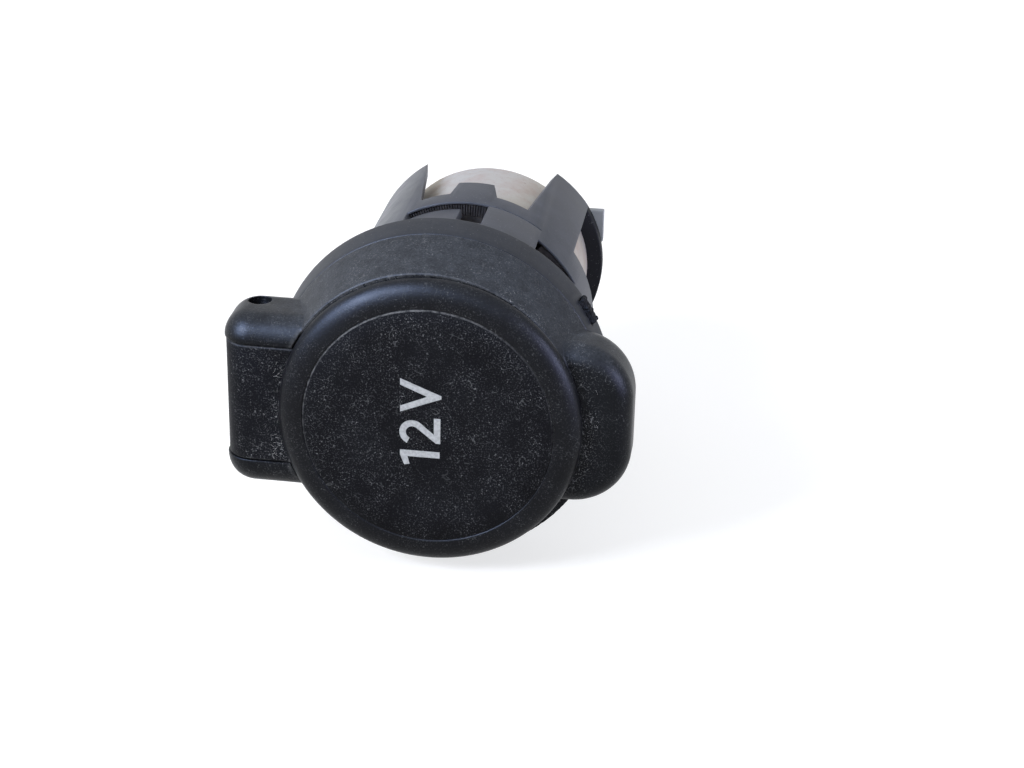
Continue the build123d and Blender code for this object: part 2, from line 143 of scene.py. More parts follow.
# %% Table, sky and lamps
WHITE = linear("#ffffff")
FLOOR_HALF = 1.5
FLOOR_COLOUR = "#b8b4ae"
FLOOR_GLOW = 0.68
FADE_FROM = 0.2
FADE_TO = 0.5
SKY_COLOUR = "#e0e8f5"
SKY_FROM = Vector((-0.45, 0.5, 0.74)).normalized()
SKY_DIM_AT = -0.25
SKY_BRIGHT_AT = 0.95
SKY_LOW = 0.03
SKY_HIGH = 1.1
floor_z = cad_low.z


def seen_directly(tree):
    """One for what the eye sees, by itself, in a mirror or through glass, and nought for lighting."""
    ray = add(tree, "ShaderNodeLightPath").outputs
    bent = add(tree, MATH, {0: ray["Is Glossy Ray"], 1: ray["Is Transmission Ray"]}, operation="MAXIMUM")
    return add(tree, MATH, {0: ray["Is Camera Ray"], 1: bent}, operation="MAXIMUM")


table_mesh = bpy.data.meshes.new("table")
corners = [
    (-FLOOR_HALF, -FLOOR_HALF), (FLOOR_HALF, -FLOOR_HALF),
    (FLOOR_HALF, FLOOR_HALF), (-FLOOR_HALF, FLOOR_HALF),
]
table_mesh.from_pydata([(x, y, floor_z) for x, y in corners], [], [(0, 1, 2, 3)])
table = bpy.data.objects.new("table", table_mesh)
scene.collection.objects.link(table)

table_paper, tree, place = blank_material("matt_glowing_table_sheet")
away = add(tree, VECTOR, {0: place}, operation="LENGTH").outputs["Value"]
level = add(tree, RANGE, {0: away, 1: FADE_FROM, 2: FADE_TO, 3: FLOOR_GLOW, 4: 1.0})
glow = add(tree, MATH, {0: seen_directly(tree), 1: level}, operation="MULTIPLY")
matt = add(tree, "ShaderNodeBsdfDiffuse", {"Color": linear(FLOOR_COLOUR)})
light = add(tree, "ShaderNodeEmission", {"Color": WHITE, "Strength": glow})
both = add(tree, "ShaderNodeAddShader", {0: matt, 1: light})
add(tree, OUTPUT, {"Surface": both})
table_mesh.materials.append(table_paper)

sky = bpy.data.worlds.new("high_daylight")
sky.use_nodes = True
tree = sky.node_tree
tree.nodes.clear()
towards = add(tree, "ShaderNodeTexCoord").outputs["Generated"]
facing = add(tree, VECTOR, {0: towards, 1: SKY_FROM}, operation="DOT_PRODUCT").outputs["Value"]
strength = add(tree, RANGE, {0: facing, 1: SKY_DIM_AT, 2: SKY_BRIGHT_AT, 3: SKY_LOW, 4: SKY_HIGH})
day = add(tree, "ShaderNodeBackground", {"Color": linear(SKY_COLOUR), "Strength": strength})
white = add(tree, "ShaderNodeBackground", {"Color": WHITE, "Strength": 1.0})
both = add(tree, "ShaderNodeMixShader", {0: seen_directly(tree), 1: day, 2: white})
add(tree, "ShaderNodeOutputWorld", {"Surface": both})
scene.world = sky

# Each lamp's place and size in metres, its watts, its colour, and whether it lights more than shine.
LAMPS = {
    "window_left": ((-0.39, -0.36, 0.34), (0.24, 0.2), 4.6, "#e2ebfc", True),
    "window_right": ((0.54, -0.18, 0.15), (0.2, 0.24), 2.2, "#d3e0fb", True),
    "gleam_left": ((-0.42, -0.35, 0.36), (0.46, 0.46), 20.0, "#adc8ff", False),
    "gleam_front": ((-0.10, -0.50, 0.38), (0.50, 0.20), 1.6, "#b9cffa", False),
    "gleam_right": ((0.52, -0.24, 0.11), (0.40, 0.30), 4.6, "#b0b4f0", False),
}
for name, (spot, size, watts, colour, lights_colour) in LAMPS.items():
    lamp_data = bpy.data.lights.new(name, "AREA")
    lamp_data.shape = "RECTANGLE"
    lamp_data.size = size[0]
    lamp_data.size_y = size[1]
    lamp_data.energy = watts
    lamp_data.color = linear(colour)[:3]
    lamp = bpy.data.objects.new(name, lamp_data)
    lamp.location = spot
    lamp.visible_diffuse = lights_colour
    lamp.rotation_euler = Vector(spot).to_track_quat("Z", "Y").to_euler()
    scene.collection.objects.link(lamp)
print("lamps", list(LAMPS))

# %% [markdown]
# Dust is what makes this socket look used. Grit is the peaks of a fine noise, so each grain has a shape of
# its own. Fibres are the level lines of a coarser noise, cut short: thin, curved and never two alike.
# A grain of real dust is finer than a pixel of the picture, so the grit is drawn about 0.15 mm wide,
# which is as fine as it can be and still show.

# %% Dust patterns
FINE_GRIT = 0.42
COARSE_GRIT = 0.75
HAIRS = 0.4
THIN_CLOUD = 0.15
CUT_SIZE = 0.8
CUT_EDGE = 0.05
# The film on upward faces is partly dust and partly painted sheen of the light from above.
DUST_SHEEN_STARTS = 0.1
DUST_SHEEN_FULL = 0.7
DUST_SHEEN_PATCHES = ((1.5, 0.25), (0.3, 0.3))


def grit(tree, place, size, low, high):
    """The peaks of a noise whose lumps measure this many millimetres: none below low, full above high."""
    noise = add(tree, NOISE, {"Vector": place, "Scale": per_mm(size), "Detail": 2.0, "Roughness": 0.6})
    return add(tree, RANGE, {0: noise, 1: low, 2: high, 3: 0.0, 4: 1.0}).outputs[0]


def fibres(tree, place, size, width, share):
    """Level lines of a noise, kept where a second noise is high."""
    noise = add(tree, NOISE, {"Vector": place, "Scale": per_mm(size), "Detail": 0.0})
    level = add(tree, MATH, {0: noise, 1: 0.5}, operation="SUBTRACT")
    level = add(tree, MATH, {0: level}, operation="ABSOLUTE")
    line = add(tree, RANGE, {0: level, 1: width, 2: 0.0, 3: 0.0, 4: 1.0})
    kept = grit(tree, place, size * CUT_SIZE, share, share + CUT_EDGE)
    return add(tree, MATH, {0: line, 1: kept}, operation="MULTIPLY").outputs[0]


def settled_dust(tree, place, cover):
    """Grit in two sizes and fibres, thinned by cover and gathered in loose clouds."""
    layers = (
        (grit(tree, place, 0.16, 0.55, 0.76), FINE_GRIT),
        (grit(tree, place, 0.22, 0.63, 0.72), COARSE_GRIT),
        (fibres(tree, place, 1.1, 0.02, 0.54), HAIRS),
    )
    total = 0.0
    for layer, share in layers:
        thinned = add(tree, MATH, {0: layer, 1: share}, operation="MULTIPLY")
        total = add(tree, MATH, {0: total, 1: thinned}, operation="MAXIMUM")
    clouds = grit(tree, place, 3.0, 0.34, 0.66)
    thick = add(tree, MATH, {0: clouds, 1: 1.0 - THIN_CLOUD, 2: THIN_CLOUD}, operation="MULTIPLY_ADD")
    total = add(tree, MATH, {0: total, 1: thick}, operation="MULTIPLY")
    return add(tree, MATH, {0: total, 1: cover}, operation="MULTIPLY", use_clamp=True).outputs[0]


def dust_and_sheen_facing_up(tree, place, most_dust_and_sheen):
    """A thin uneven pale film where a surface faces up when the socket lies at rest: partly dust, partly
    painted sheen.
    """
    normal = add(tree, "ShaderNodeNewGeometry").outputs["Normal"]
    normal = add(
        tree, "ShaderNodeVectorTransform", {0: normal},
        vector_type="NORMAL", convert_from="WORLD", convert_to="OBJECT",
    )
    upward = add(tree, SPLIT, {0: normal}).outputs[2]
    dust_and_sheen_film = add(tree, RANGE, {0: upward, 1: DUST_SHEEN_STARTS, 2: DUST_SHEEN_FULL, 3: 0.0, 4: most_dust_and_sheen})
    for size, swing in DUST_SHEEN_PATCHES:
        lumps = grit(tree, place, size, 0.25, 0.75)
        uneven = add(tree, RANGE, {0: lumps, 1: 0.0, 2: 1.0, 3: 1.0 - swing, 4: 1.0 + swing})
        dust_and_sheen_film = add(tree, MATH, {0: dust_and_sheen_film, 1: uneven}, operation="MULTIPLY")
    return dust_and_sheen_film


def broken_line(tree, place, across, outer, inner, share):
    """A pale line between two values of a coordinate, broken into short pieces: dust, and on the lid's ring
    partly a painted highlight.
    """
    line = add(tree, RANGE, {0: across, 1: outer * MM, 2: inner * MM, 3: 0.0, 4: share})
    return add(tree, MATH, {0: line, 1: grit(tree, place, 0.5, 0.3, 0.6)}, operation="MULTIPLY")


def rubbed_patches(tree, place):
    """Broad patches that fingers have rubbed smooth."""
    return grit(tree, place, 5.0, 0.35, 0.65)


def distance_from(tree, place, centre):
    """How far a point is from the line through a centre along the socket's axis, in metres."""
    away = add(tree, VECTOR, {0: place, 1: centre}, operation="SUBTRACT")
    flat = add(tree, VECTOR, {0: away, 1: (1.0, 0.0, 1.0)}, operation="MULTIPLY")
    return add(tree, VECTOR, {0: flat}, operation="LENGTH").outputs["Value"]


# %% [markdown]
# The lid and its frame are black ABS, injection moulded in a spark-eroded tool. That leaves a fine even
# grain, which makes the flat face dull, while the rims that fingers touch are rubbed smooth and shine softly.
# So the face, the hinge leaf, the lid's rim and the frame have a material each, and face and rim meet in the
# ring line. Each material says where its own dust lies, and where pale films and lines stand partly for
# painted
# sheen and painted highlight: the limits of a Map Range are places on the object, in millimetres from the
# lid's middle or along an axis, and then the amounts of dust and painted light at those two places.

# %% Black moulded plastic
LID_CENTRE = (0.3 * MM, 0.0, -0.45 * MM)
RING_RADIUS = 13.28
SEAM_Y = -3.65
COLLAR_FRONT = -10.2
LEAF_END_Z = 6.55
DUST_COLOUR = "#aeaca9"
# The pale bluish colour of the random haze and of the upward film, which is partly painted sheen.
HAZE_AND_SHEEN_COLOUR = "#a0a4ac"
PLASTIC_IOR = 1.5
MOST_HAZE = 0.01
DUST_ROUGHENS = 0.5
DUST_HEIGHT = 0.7
ABS_RELIEF = 0.045 * MM


def black_abs(name, colour, mirror, rough, smooth, places):
    """A grained black plastic.

    places gives how thick grit lies, where fingers rub, how thick a pale film of dust and painted sheen lies,
    and where a pale line of dust and painted highlight lies.
    """
    made, tree, place = blank_material(name)
    cover, polish, dust_and_sheen_film, line = places(tree, place)
    # Dust and the pale lines share one colour; the lines are partly painted highlight.
    dust_and_painted_light = add(tree, MATH, {0: settled_dust(tree, place, cover), 1: line}, operation="MAXIMUM")
    tone = add(tree, NOISE, {"Vector": place, "Scale": per_mm(6.0), "Detail": 5.0})
    haze = add(tree, RANGE, {0: tone, 1: 0.4, 2: 0.75, 3: 0.0, 4: MOST_HAZE})
    haze = add(tree, MATH, {0: haze, 1: dust_and_sheen_film}, operation="MAXIMUM")
    hazy = add(tree, MIX, {0: haze, 6: linear(colour), 7: linear(HAZE_AND_SHEEN_COLOUR)}, data_type="RGBA")
    painted = add(tree, MIX, {0: dust_and_painted_light, 6: hazy.outputs[2], 7: linear(DUST_COLOUR)}, data_type="RGBA")
    gloss = add(tree, RANGE, {0: polish, 1: 0.0, 2: 1.0, 3: rough, 4: smooth})
    gloss = add(
        tree, MATH, {0: dust_and_painted_light, 1: DUST_ROUGHENS, 2: gloss}, operation="MULTIPLY_ADD", use_clamp=True
    )
    grain = add(tree, NOISE, {"Vector": place, "Scale": per_mm(0.2), "Detail": 3.0})
    relief = add(tree, MATH, {0: dust_and_painted_light, 1: DUST_HEIGHT, 2: grain}, operation="MULTIPLY_ADD")
    bump = add(tree, BUMP, {"Height": relief, "Strength": 0.5, "Distance": ABS_RELIEF})
    skin = add(
        tree, PRINCIPLED,
        {
            "Base Color": painted.outputs[2], "Roughness": gloss, "Normal": bump,
            "IOR": PLASTIC_IOR, "Specular IOR Level": mirror,
        },
    )
    add(tree, OUTPUT, {"Surface": skin})
    return made


def face_places(tree, place):
    """Grit lies over the face, less at its foot. A pale ring line, brightest at the top and left, is partly
    dust and partly painted highlight on the ring's edge.
    """
    radius = distance_from(tree, place, LID_CENTRE)
    x, _, z = add(tree, SPLIT, {0: place}).outputs
    # Brighter at the top and left, where the light falls: a painted highlight on the ring's edge.
    above = add(tree, RANGE, {0: z, 1: -6.0 * MM, 2: 11.0 * MM, 3: 0.05, 4: 1.0})
    left = add(tree, RANGE, {0: x, 1: 10.0 * MM, 2: -2.0 * MM, 3: 0.3, 4: 1.0})
    line = broken_line(tree, place, radius, RING_RADIUS - 0.18, RING_RADIUS - 0.13, 0.4)
    line = add(tree, MATH, {0: line, 1: above}, operation="MULTIPLY")
    line = add(tree, MATH, {0: line, 1: left}, operation="MULTIPLY")
    cover = add(tree, RANGE, {0: z, 1: -11.0 * MM, 2: -2.0 * MM, 3: 0.42, 4: 0.65})
    return cover, rubbed_patches(tree, place), 0.0, line


def rim_places(tree, place):
    """The rim is rubbed nearly clean. A little dust lies beside the ring line, partly painted highlight
    towards the top, and the pale film where the rim faces up is partly dust, partly painted sheen.
    """
    radius = distance_from(tree, place, LID_CENTRE)
    z = add(tree, SPLIT, {0: place}).outputs[2]
    cover = add(tree, RANGE, {0: radius, 1: 13.3 * MM, 2: 14.2 * MM, 3: 0.4, 4: 0.25})
    above = add(tree, RANGE, {0: z, 1: -6.0 * MM, 2: 9.0 * MM, 3: 0.25, 4: 1.0})
    line = broken_line(tree, place, radius, RING_RADIUS + 0.12, RING_RADIUS + 0.04, 0.06)
    line = add(tree, MATH, {0: line, 1: above}, operation="MULTIPLY")
    return cover, rubbed_patches(tree, place), dust_and_sheen_facing_up(tree, place, 0.03), line


def leaf_places(tree, place):
    """Grit lies thick on the hinge leaf beside the rim, and less towards the leaf's outer end."""
    radius = distance_from(tree, place, LID_CENTRE)
    x, _, z = add(tree, SPLIT, {0: place}).outputs
    cover = add(tree, RANGE, {0: x, 1: -21.6 * MM, 2: -18.9 * MM, 3: 0.15, 4: 0.9})
    corner = add(tree, RANGE, {0: radius, 1: 17.6 * MM, 2: 16.4 * MM, 3: 0.0, 4: 1.6})
    cover = add(tree, MATH, {0: cover, 1: corner}, operation="MAXIMUM")
    end = add(tree, MATH, {0: z}, operation="ABSOLUTE")
    line = broken_line(tree, place, end, LEAF_END_Z - 0.15, LEAF_END_Z, 0.1)
    # The pale film where the leaf faces up is partly dust, partly painted sheen.
    return cover, rubbed_patches(tree, place), dust_and_sheen_facing_up(tree, place, 0.04), line


def frame_places(tree, place):
    """Grit lies in the corner beside the lid, a film of dust and painted sheen over the collar's upper side,
    and dust along its edges.
    """
    radius = distance_from(tree, place, LID_CENTRE)
    x, y, z = add(tree, SPLIT, {0: place}).outputs
    corner = add(tree, RANGE, {0: radius, 1: 18.6 * MM, 2: 16.6 * MM, 3: 0.0, 4: 1.5})
    right = add(tree, RANGE, {0: x, 1: 0.0, 2: 10.0 * MM, 3: 0.5, 4: 1.0})
    front = add(tree, RANGE, {0: y, 1: -9.4 * MM, 2: -10.1 * MM, 3: 0.0, 4: 1.0})
    open_air = add(tree, RANGE, {0: radius, 1: 15.9 * MM, 2: 16.2 * MM, 3: 0.2, 4: 1.0})
    for limit in (right, front, open_air):
        corner = add(tree, MATH, {0: corner, 1: limit}, operation="MULTIPLY")
    thin = add(tree, RANGE, {0: radius, 1: 16.0 * MM, 2: 21.0 * MM, 3: 0.6, 4: 0.3})
    cover = add(tree, MATH, {0: corner, 1: thin}, operation="MAXIMUM")
    rubbed = add(tree, RANGE, {0: radius, 1: 17.5 * MM, 2: 20.5 * MM, 3: 0.2, 4: 1.0})
    kept = add(tree, RANGE, {0: rubbed, 1: 0.0, 2: 1.0, 3: 1.0, 4: 0.5})
    above = add(tree, RANGE, {0: z, 1: -6.0 * MM, 2: -2.0 * MM, 3: 0.0, 4: 1.0})
    dust_and_sheen_film = dust_and_sheen_facing_up(tree, place, 0.11)
    for limit in (kept, above):
        dust_and_sheen_film = add(tree, MATH, {0: dust_and_sheen_film, 1: limit}, operation="MULTIPLY")
    edge = broken_line(tree, place, y, COLLAR_FRONT + 0.08, COLLAR_FRONT, 0.12)
    inside = add(tree, RANGE, {0: radius, 1: 16.9 * MM, 2: 16.6 * MM, 3: 0.0, 4: 1.0})
    for limit in (inside, open_air):
        edge = add(tree, MATH, {0: edge, 1: limit}, operation="MULTIPLY")
    seam = broken_line(tree, place, y, SEAM_Y - 0.14, SEAM_Y - 0.06, 0.05)
    return cover, rubbed, dust_and_sheen_film, add(tree, MATH, {0: edge, 1: seam}, operation="MAXIMUM")


lid_face_abs = black_abs(
    "moulded_black_abs_grained_face", "#0f0e0e", mirror=0.042, rough=0.62, smooth=0.62, places=face_places
)
leaf_abs = black_abs(
    "moulded_black_abs_hinge_leaf", "#0e0e10", mirror=0.055, rough=0.5, smooth=0.44, places=leaf_places
)
lid_rim_abs = black_abs(
    "moulded_black_abs_rubbed_rim", "#0b0b0d", mirror=0.1, rough=0.4, smooth=0.32, places=rim_places
)
frame_abs = black_abs(
    "moulded_black_abs_frame", "#0b0c0e", mirror=0.085, rough=0.44, smooth=0.34, places=frame_places
)
print("black plastics", [m.name for m in (lid_face_abs, leaf_abs, lid_rim_abs, frame_abs)])

# %% [markdown]
# The flange and the clip ring are other plastics: a satin glass-filled nylon, dyed through. Fibres near the
# surface leave a faint mottle. The clip's upper left side is paler in patches, partly scuffs where the panel
# has rubbed it and partly painted light from the upper left.

# %% Nylon, rubber and laminate
WORN_AND_LIT_NYLON = "#9a9894"
LOOSE_GRIT = 0.3
GLOSS_SWING = 0.16
MOULD_RELIEF = 0.03 * MM


def left_scuffs_and_painted_light(tree, place):
    """The clip's upper left side is paler in small patches: partly scuffs, partly painted light from the
    upper left.
    """
    x, _, z = add(tree, SPLIT, {0: place}).outputs
    # Paler towards the left and the top, where light from the upper left falls.
    left = add(tree, RANGE, {0: x, 1: -6.5 * MM, 2: -11.5 * MM, 3: 0.0, 4: 0.62})
    upper = add(tree, RANGE, {0: z, 1: 1.0 * MM, 2: 6.0 * MM, 3: 0.15, 4: 1.0})
    left = add(tree, MATH, {0: left, 1: upper}, operation="MULTIPLY")
    return add(tree, MATH, {0: left, 1: grit(tree, place, 2.6, 0.1, 0.7)}, operation="MULTIPLY")


def moulding(name, colour, pale, mirror, rough, mottle_mm, mottle, grain_mm, grain, dust_and_sheen_film=0.0, wear_and_light=None):
    """A dyed plastic or rubber with a soft mottle, a little grit and a fine relief.
    Where asked, a pale film on upward faces adds dust and painted sheen, and pale patches add wear and
    painted light.
    """
    made, tree, place = blank_material(name)
    tone = add(tree, NOISE, {"Vector": place, "Scale": per_mm(mottle_mm), "Detail": 5.0})
    share = add(tree, RANGE, {0: tone, 1: 0.35, 2: 0.7, 3: 0.0, 4: mottle})
    painted = add(tree, MIX, {0: share, 6: linear(colour), 7: linear(pale)}, data_type="RGBA")
    if wear_and_light:
        painted = add(
            tree, MIX, {0: wear_and_light(tree, place), 6: painted.outputs[2], 7: linear(WORN_AND_LIT_NYLON)}, data_type="RGBA"
        )
    dust_and_painted_light = add(tree, MATH, {0: grit(tree, place, 0.22, 0.66, 0.8), 1: LOOSE_GRIT}, operation="MULTIPLY")
    if dust_and_sheen_film:
        dust_and_painted_light = add(tree, MATH, {0: dust_and_painted_light, 1: dust_and_sheen_facing_up(tree, place, dust_and_sheen_film)}, operation="ADD")
    dusty = add(tree, MIX, {0: dust_and_painted_light, 6: painted.outputs[2], 7: linear(DUST_COLOUR)}, data_type="RGBA")
    gloss = add(tree, MATH, {0: tone, 1: GLOSS_SWING, 2: rough - GLOSS_SWING / 2}, operation="MULTIPLY_ADD")
    fine = add(tree, NOISE, {"Vector": place, "Scale": per_mm(grain_mm), "Detail": 2.0})
    bump = add(tree, BUMP, {"Height": fine, "Strength": grain, "Distance": MOULD_RELIEF})
    skin = add(
        tree, PRINCIPLED,
        {
            "Base Color": dusty.outputs[2], "Roughness": gloss, "Normal": bump,
            "IOR": PLASTIC_IOR, "Specular IOR Level": mirror,
        },
    )
    add(tree, OUTPUT, {"Surface": skin})
    return made


# The flange's pale film on upward faces is partly dust, partly painted sheen.
flange_nylon = moulding(
    "moulded_dark_nylon_flange", "#1f2126", "#2b2d32", mirror=0.17, rough=0.46,
    mottle_mm=5.0, mottle=0.6, grain_mm=0.25, grain=0.25, dust_and_sheen_film=0.025,
)
clip_nylon = moulding(
    "moulded_grey_nylon_clip", "#3f4044", "#525256", mirror=0.18, rough=0.5,
    mottle_mm=3.0, mottle=0.7, grain_mm=0.2, grain=0.5, wear_and_light=left_scuffs_and_painted_light,
)
plate_nylon = moulding(
    "moulded_black_nylon_plate", "#101012", "#1a1a1c", mirror=0.13, rough=0.6,
    mottle_mm=4.0, mottle=0.6, grain_mm=0.25, grain=0.25,
)
base_nylon = moulding(
    "moulded_grey_nylon_base", "#959491", "#aaa8a5", mirror=0.3, rough=0.55,
    mottle_mm=3.0, mottle=0.7, grain_mm=0.2, grain=0.2,
)
# Very dark brown: partly the band's own colour, partly painted shade of the slots it fills.
band_nylon_and_slot_shade = moulding(
    "moulded_brown_black_nylon_band_and_slot_shade", "#292522", "#3d3731", mirror=0.25, rough=0.6,
    mottle_mm=0.7, mottle=0.9, grain_mm=0.2, grain=0.3,
)
pad_rubber = moulding(
    "moulded_black_rubber", "#070708", "#121213", mirror=0.15, rough=0.7,
    mottle_mm=1.0, mottle=0.8, grain_mm=0.15, grain=0.6,
)
laminate = moulding(
    "pressed_brown_paper_laminate", "#3d2f22", "#54432f", mirror=0.5, rough=0.5,
    mottle_mm=0.8, mottle=0.8, grain_mm=0.12, grain=0.3,
)

# %% [markdown]
# The barrel is deep-drawn steel with a dull zinc plate: a pale grey metal, matt rather than mirror-like,
# with faint warm blotches where the plate has aged and a few dark pits. The contacts are stamped brass.

# %% Metals
ALONG_DRAWING = (1.0, 0.06, 1.0)
METAL_SWING = 0.2
PIT_ROUGHENS = 0.3
DRAWN_RELIEF = 0.02 * MM


def plated_metal(name, colour, stain, pit, rough, stain_mm, stain_share, pit_share, draw_mm):
    """A metal with aged blotches, pits and the faint lines of its drawing or rolling."""
    made, tree, place = blank_material(name)
    blotch = add(tree, NOISE, {"Vector": place, "Scale": per_mm(stain_mm), "Detail": 5.0, "Roughness": 0.6})
    share = add(tree, RANGE, {0: blotch, 1: 0.42, 2: 0.68, 3: 0.0, 4: stain_share})
    aged = add(tree, MIX, {0: share, 6: linear(colour), 7: linear(stain)}, data_type="RGBA")
    pits = add(tree, MATH, {0: grit(tree, place, 0.3, 0.66, 0.78), 1: pit_share}, operation="MULTIPLY")
    pitted = add(tree, MIX, {0: pits, 6: aged.outputs[2], 7: linear(pit)}, data_type="RGBA")
    along = add(tree, "ShaderNodeMapping", {"Vector": place, "Scale": ALONG_DRAWING})
    lines = add(tree, NOISE, {"Vector": along, "Scale": per_mm(draw_mm), "Detail": 3.0})
    gloss = add(tree, MATH, {0: blotch, 1: METAL_SWING, 2: rough - METAL_SWING / 2}, operation="MULTIPLY_ADD")
    gloss = add(tree, MATH, {0: pits, 1: PIT_ROUGHENS, 2: gloss}, operation="MULTIPLY_ADD", use_clamp=True)
    bump = add(tree, BUMP, {"Height": lines, "Strength": 0.12, "Distance": DRAWN_RELIEF})
    skin = add(
        tree, PRINCIPLED,
        {"Base Color": pitted.outputs[2], "Metallic": 1.0, "Roughness": gloss, "Normal": bump},
    )
    add(tree, OUTPUT, {"Surface": skin})
    return made


zinc_steel = plated_metal(
    "drawn_steel_dull_zinc", "#a9a399", "#a19285", "#5d5550", rough=0.6,
    stain_mm=2.4, stain_share=0.75, pit_share=0.45, draw_mm=0.3,
)
bright_steel = plated_metal(
    "rolled_steel_bright_zinc", "#c4c5c8", "#b3aca2", "#5d5852", rough=0.34,
    stain_mm=2.0, stain_share=0.5, pit_share=0.3, draw_mm=0.2,
)
wire_steel = plated_metal(
    "drawn_spring_wire", "#9fa0a3", "#8a8178", "#3c3833", rough=0.32,
    stain_mm=1.0, stain_share=0.5, pit_share=0.3, draw_mm=0.1,
)
brass = plated_metal(
    "stamped_brass_sheet", "#c9a45c", "#9c7a3f", "#4d3a1e", rough=0.32,
    stain_mm=1.8, stain_share=0.6, pit_share=0.3, draw_mm=0.2,
)

# %% [markdown]
# The marking is pad-printed: a film of pale grey ink, thin enough for the grain to show through in places.
# Lint is cotton from the car's carpet and clothes: greyed with dust and quite matt.

# %% Ink and lint
ink, tree, place = blank_material("pad_printed_pale_grey_ink")
thin = grit(tree, place, 0.3, 0.42, 0.62)
inked = add(tree, MIX, {0: thin, 6: linear("#b8b6b0"), 7: linear("#a4a19b")}, data_type="RGBA")
skin = add(tree, PRINCIPLED, {"Base Color": inked.outputs[2], "Roughness": 0.6, "IOR": 1.48})
add(tree, OUTPUT, {"Surface": skin})

lint_cotton, tree, place = blank_material("carded_white_cotton_lint")
skin = add(
    tree, PRINCIPLED, {"Base Color": linear("#a8a5a0"), "Roughness": 0.9, "Specular IOR Level": 0.2}
)
add(tree, OUTPUT, {"Surface": skin})
print("materials", len(bpy.data.materials))

# %% [markdown]
# Most pieces keep their solid's form and only lose its knife edges, because a mould or a press rounds every
# edge a little. A merged copy of the solid's mesh gets a Bevel where two faces meet at an angle.
# Round pieces that catch the light are turned anew from a profile, which gives an even, clean skin.
# The frame's knuckles and ear flow into the collar, so its copy is remeshed and smoothed.

# %% From solid to moulded piece
SAME_POINT = 0.0005
SAME_TURNED_POINT = 0.0001
WELD_REACH = 0.002
FLAT_ANGLE = 0.4


def merged_copy(node):
    """A node's mesh as one closed skin, in millimetres."""
    skin = bmesh.new()
    skin.from_mesh(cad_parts[node].data)
    bmesh.ops.scale(skin, vec=(1 / MM, 1 / MM, 1 / MM), verts=skin.verts)
    bmesh.ops.remove_doubles(skin, verts=skin.verts, dist=SAME_POINT)
    return skin


def turned(outline, steps=160, span=(0.0, 360.0), centre=(0.0, 0.0), closed=False):
    """A skin turned round a line along the socket's axis, from points of radius and depth."""
    skin = bmesh.new()
    whole = span[1] - span[0] >= 360.0
    rings = []
    for step in range(steps if whole else steps + 1):
        angle = math.radians(span[0] + (span[1] - span[0]) * step / steps)
        ring = []
        for radius, depth in outline:
            x = centre[0] + radius * math.cos(angle)
            z = centre[1] + radius * math.sin(angle)
            ring.append(skin.verts.new((x, depth, z)))
        rings.append(ring)
    pairs = list(zip(rings, rings[1:]))
    if whole:
        pairs.append((rings[-1], rings[0]))
    count = len(outline)
    for here, there in pairs:
        for first in range(count if closed else count - 1):
            second = (first + 1) % count
            skin.faces.new((here[first], here[second], there[second], there[first]))
    if not whole:
        skin.faces.new(rings[0])
        skin.faces.new(rings[-1])
    bmesh.ops.remove_doubles(skin, verts=skin.verts, dist=SAME_TURNED_POINT)
    bmesh.ops.recalc_face_normals(skin, faces=skin.faces)
    return skin


def drawn_out(outline, low, high, place):
    """A skin between two levels of a flat outline; place turns a point and a level into a position."""
    skin = bmesh.new()
    ends = [[skin.verts.new(place(point, level)) for point in outline] for level in (low, high)]
    count = len(outline)
    for first in range(count):
        second = (first + 1) % count
        skin.faces.new((ends[0][first], ends[0][second], ends[1][second], ends[1][first]))
    skin.faces.new(ends[0])
    skin.faces.new(ends[1])
    bmesh.ops.recalc_face_normals(skin, faces=skin.faces)
    return skin


def take_in(whole, part):
    """Adds one skin to another and frees it."""
    mesh = bpy.data.meshes.new("part")
    part.to_mesh(mesh)
    part.free()
    whole.from_mesh(mesh)
    bpy.data.meshes.remove(mesh)


def to_object(skin, name):
    """A skin as an object in the scene, still in millimetres."""
    mesh = bpy.data.meshes.new(name)
    skin.to_mesh(mesh)
    skin.free()
    made = bpy.data.objects.new(name, mesh)
    scene.collection.objects.link(made)
    return made


def settle(made):
    """Bakes an object's modifiers into its mesh."""
    depsgraph = bpy.context.evaluated_depsgraph_get()
    baked = bpy.data.meshes.new_from_object(made.evaluated_get(depsgraph))
    made.modifiers.clear()
    old = made.data
    made.data = baked
    bpy.data.meshes.remove(old)
    return made


def discard(spent):
    """Removes an object and its mesh."""
    mesh = spent.data
    bpy.data.objects.remove(spent)
    bpy.data.meshes.remove(mesh)


def combined(made, other, operation):
    """Joins or cuts one object with another, which is used up."""
    step = made.modifiers.new("combine", "BOOLEAN")
    step.operation = operation
    step.solver = "EXACT"
    step.use_self = True
    step.object = other
    settle(made)
    discard(other)
    return made


def rounded(made, width, segments=3, angle=28.0):
    """Rounds an object's sharp edges with a bevel."""
    bevel = made.modifiers.new("edge_round", "BEVEL")
    bevel.limit_method = "ANGLE"
    bevel.angle_limit = math.radians(angle)
    bevel.width = width
    bevel.segments = segments
    bevel.use_clamp_overlap = False
    return settle(made)


def softened(node, name, width):
    """A copy of a node whose sharp edges are rounded."""
    skin = merged_copy(node)
    bmesh.ops.dissolve_limit(skin, angle_limit=math.radians(FLAT_ANGLE), verts=skin.verts, edges=skin.edges)
    return rounded(to_object(skin, name), width)


